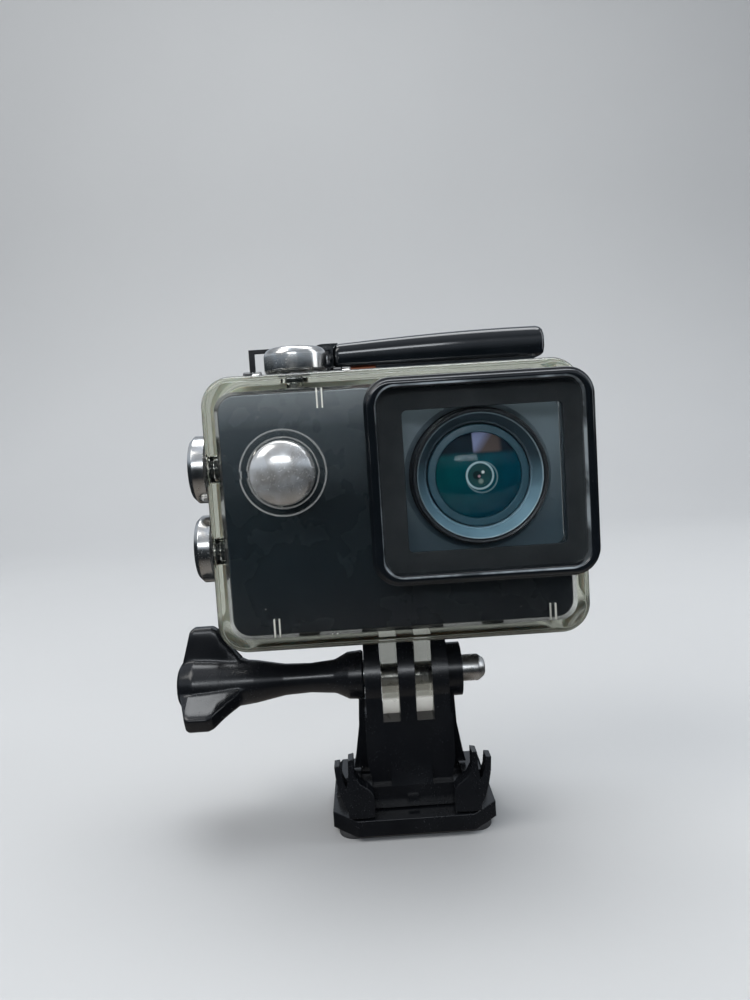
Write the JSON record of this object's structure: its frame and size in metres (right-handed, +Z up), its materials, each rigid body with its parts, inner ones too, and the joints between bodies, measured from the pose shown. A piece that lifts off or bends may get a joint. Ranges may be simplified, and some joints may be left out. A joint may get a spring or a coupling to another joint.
{
  "type": "action camera",
  "caption": "Compact action camera inside a clear waterproof housing with sprung buttons and a flip-up latch, clamped by a thumb screw to a quick-release adhesive stand.",
  "frame": {"origin": "on the resting face of the adhesive pad, straight below the middle of the clamp screw", "axes": "+Z up, the lens looks along -Y, +X runs along the clamp screw from the thumb knob to the lens side"},
  "size_m": [0.0751, 0.0366, 0.0919],
  "materials": {
    "clear_plastic": "polished clear polycarbonate with a pale straw tint",
    "gloss_black": "polished black plastic with fine scuffs",
    "black_plastic": "satin moulded black plastic",
    "faceplate": "glossy blue-black front panel",
    "camera_case": "fine-grained black plastic",
    "grey_plastic": "matt grey plastic",
    "window_glass": "clear flat glass",
    "coated_glass": "lens glass with a blue-green coating",
    "chrome": "polished plated metal",
    "steel": "turned stainless steel",
    "black_rubber": "moulded rubber",
    "pale_rubber": "translucent silicone",
    "orange_plastic": "dull orange moulded plastic",
    "foam_tape": "dense foam tape",
    "circuit_board": "green laminate",
    "sensor": "sensor chip under a filter",
    "battery_wrap": "plain plastic wrap",
    "display": "display module",
    "display_glass": "dark cover glass"
  },
  "bodies": {
    "stand": {"adhesive_pad": "foam_tape", "base_plate": "black_plastic", "quick_release_buckle": "black_plastic", "clamp_nut": "steel"},
    "left_tab": {"release_arm_left": "black_plastic"},
    "right_tab": {"release_arm_right": "black_plastic"},
    "clamp_screw": {"thumb_knob": "black_plastic", "thumb_bolt": "steel"},
    "housing": {"front_shell": "clear_plastic", "lens_bezel": "gloss_black", "lens_window": "window_glass", "window_seal": "black_rubber", "hinge_pins": "steel", "latch_pins": "steel", "button_o_rings": "black_rubber", "camera_front_cover": "camera_case", "camera_rear_cover": "camera_case", "camera_faceplate": "faceplate", "lens_surround": "grey_plastic", "lens_housing": "camera_case", "lens_trim_ring": "grey_plastic", "lens_retainer": "grey_plastic", "lens_front_element": "coated_glass", "lens_barrel": "camera_case", "lens_rear_element": "coated_glass", "image_sensor": "sensor", "sensor_board": "circuit_board", "main_board": "circuit_board", "battery": "battery_wrap", "battery_door": "camera_case", "display_panel": "display", "display_glass": "display_glass", "speaker": "black_plastic", "memory_card": "black_plastic", "camera_screws": "steel", "front_button_spring": "steel", "top_button_spring": "steel", "upper_side_button_spring": "steel", "lower_side_button_spring": "steel"},
    "door": {"rear_door": "clear_plastic", "door_gasket": "pale_rubber"},
    "latch": {"latch_hook": "black_plastic", "lever_pin": "steel"},
    "lever": {"latch_lever": "gloss_black"},
    "lock": {"latch_lock": "orange_plastic"},
    "front_plunger": {"front_button": "chrome", "front_button_clip": "steel"},
    "top_plunger": {"top_button": "chrome", "top_button_clip": "steel"},
    "upper_plunger": {"upper_side_button": "chrome", "upper_side_button_clip": "steel"},
    "lower_plunger": {"lower_side_button": "chrome", "lower_side_button_clip": "steel"},
    "power_key": {"power_key": "camera_case"},
    "shutter_key": {"shutter_key": "camera_case"},
    "up_key": {"up_key": "camera_case"},
    "down_key": {"down_key": "camera_case"}
  },
  "joints": [
    {"name": "housing_tilt", "type": "hinge", "parent": "stand", "child": "housing", "pos_m": [0, 0, 0.027], "axis": [1, 0, 0], "range_deg": [-88, 75]},
    {"name": "clamp_turn", "type": "hinge", "parent": "stand", "child": "clamp_screw", "pos_m": [0, 0, 0.027], "axis": [1, 0, 0], "continuous": true},
    {"name": "left_tab_squeeze", "type": "hinge", "parent": "stand", "child": "left_tab", "pos_m": [-0.0111, 0.008, 0.00525], "axis": [0, 0, 1], "range_deg": [0, 6.5], "stiffness_Nm_per_rad": 4.5},
    {"name": "right_tab_squeeze", "type": "hinge", "parent": "stand", "child": "right_tab", "pos_m": [0.0111, 0.008, 0.00525], "axis": [0, 0, -1], "range_deg": [0, 6.5], "stiffness_Nm_per_rad": 4.5},
    {"name": "door_open", "type": "hinge", "parent": "housing", "child": "door", "pos_m": [0, 0.0106, 0.0342], "axis": [-1, 0, 0], "range_deg": [0, 90]},
    {"name": "latch_swing", "type": "hinge", "parent": "housing", "child": "latch", "pos_m": [0, 0.0024, 0.0846], "axis": [1, 0, 0], "range_deg": [0, 64.8]},
    {"name": "lever_lift", "type": "hinge", "parent": "latch", "child": "lever", "pos_m": [-0.012, 0.0098, 0.0882], "axis": [0, -1, 0], "range_deg": [0, 95]},
    {"name": "lock_slide", "type": "slide", "parent": "lever", "child": "lock", "axis": [1, 0, 0], "range_m": [0, 0.0016]},
    {"name": "front_button_press", "type": "slide", "parent": "housing", "child": "front_plunger", "axis": [0, 1, 0], "range_m": [0, 0.0012], "stiffness_N_per_m": 1500, "springref_m": -0.0006, "deforming": ["front_button_spring"]},
    {"name": "top_button_press", "type": "slide", "parent": "housing", "child": "top_plunger", "axis": [0, 0, -1], "range_m": [0, 0.0012], "stiffness_N_per_m": 1500, "springref_m": -0.0006, "deforming": ["top_button_spring"]},
    {"name": "upper_side_button_press", "type": "slide", "parent": "housing", "child": "upper_plunger", "axis": [1, 0, 0], "range_m": [0, 0.0012], "stiffness_N_per_m": 1500, "springref_m": -0.0006, "deforming": ["upper_side_button_spring"]},
    {"name": "lower_side_button_press", "type": "slide", "parent": "housing", "child": "lower_plunger", "axis": [1, 0, 0], "range_m": [0, 0.0012], "stiffness_N_per_m": 1500, "springref_m": -0.0006, "deforming": ["lower_side_button_spring"]},
    {"name": "power_key_press", "type": "slide", "parent": "housing", "child": "power_key", "axis": [0, 1, 0], "range_m": [0, 0.0004]},
    {"name": "shutter_key_press", "type": "slide", "parent": "housing", "child": "shutter_key", "axis": [0, 0, -1], "range_m": [0, 0.0004]},
    {"name": "up_key_press", "type": "slide", "parent": "housing", "child": "up_key", "axis": [1, 0, 0], "range_m": [0, 0.0004]},
    {"name": "down_key_press", "type": "slide", "parent": "housing", "child": "down_key", "axis": [1, 0, 0], "range_m": [0, 0.0004]}
  ],
  "couplings": [
    {"joint": "latch_swing", "follows": "door_open", "ratio": 0.72},
    {"joint": "power_key_press", "follows": "front_button_press", "ratio": 0.333},
    {"joint": "shutter_key_press", "follows": "top_button_press", "ratio": 0.333},
    {"joint": "up_key_press", "follows": "upper_side_button_press", "ratio": 0.333},
    {"joint": "down_key_press", "follows": "lower_side_button_press", "ratio": 0.333}
  ]
}
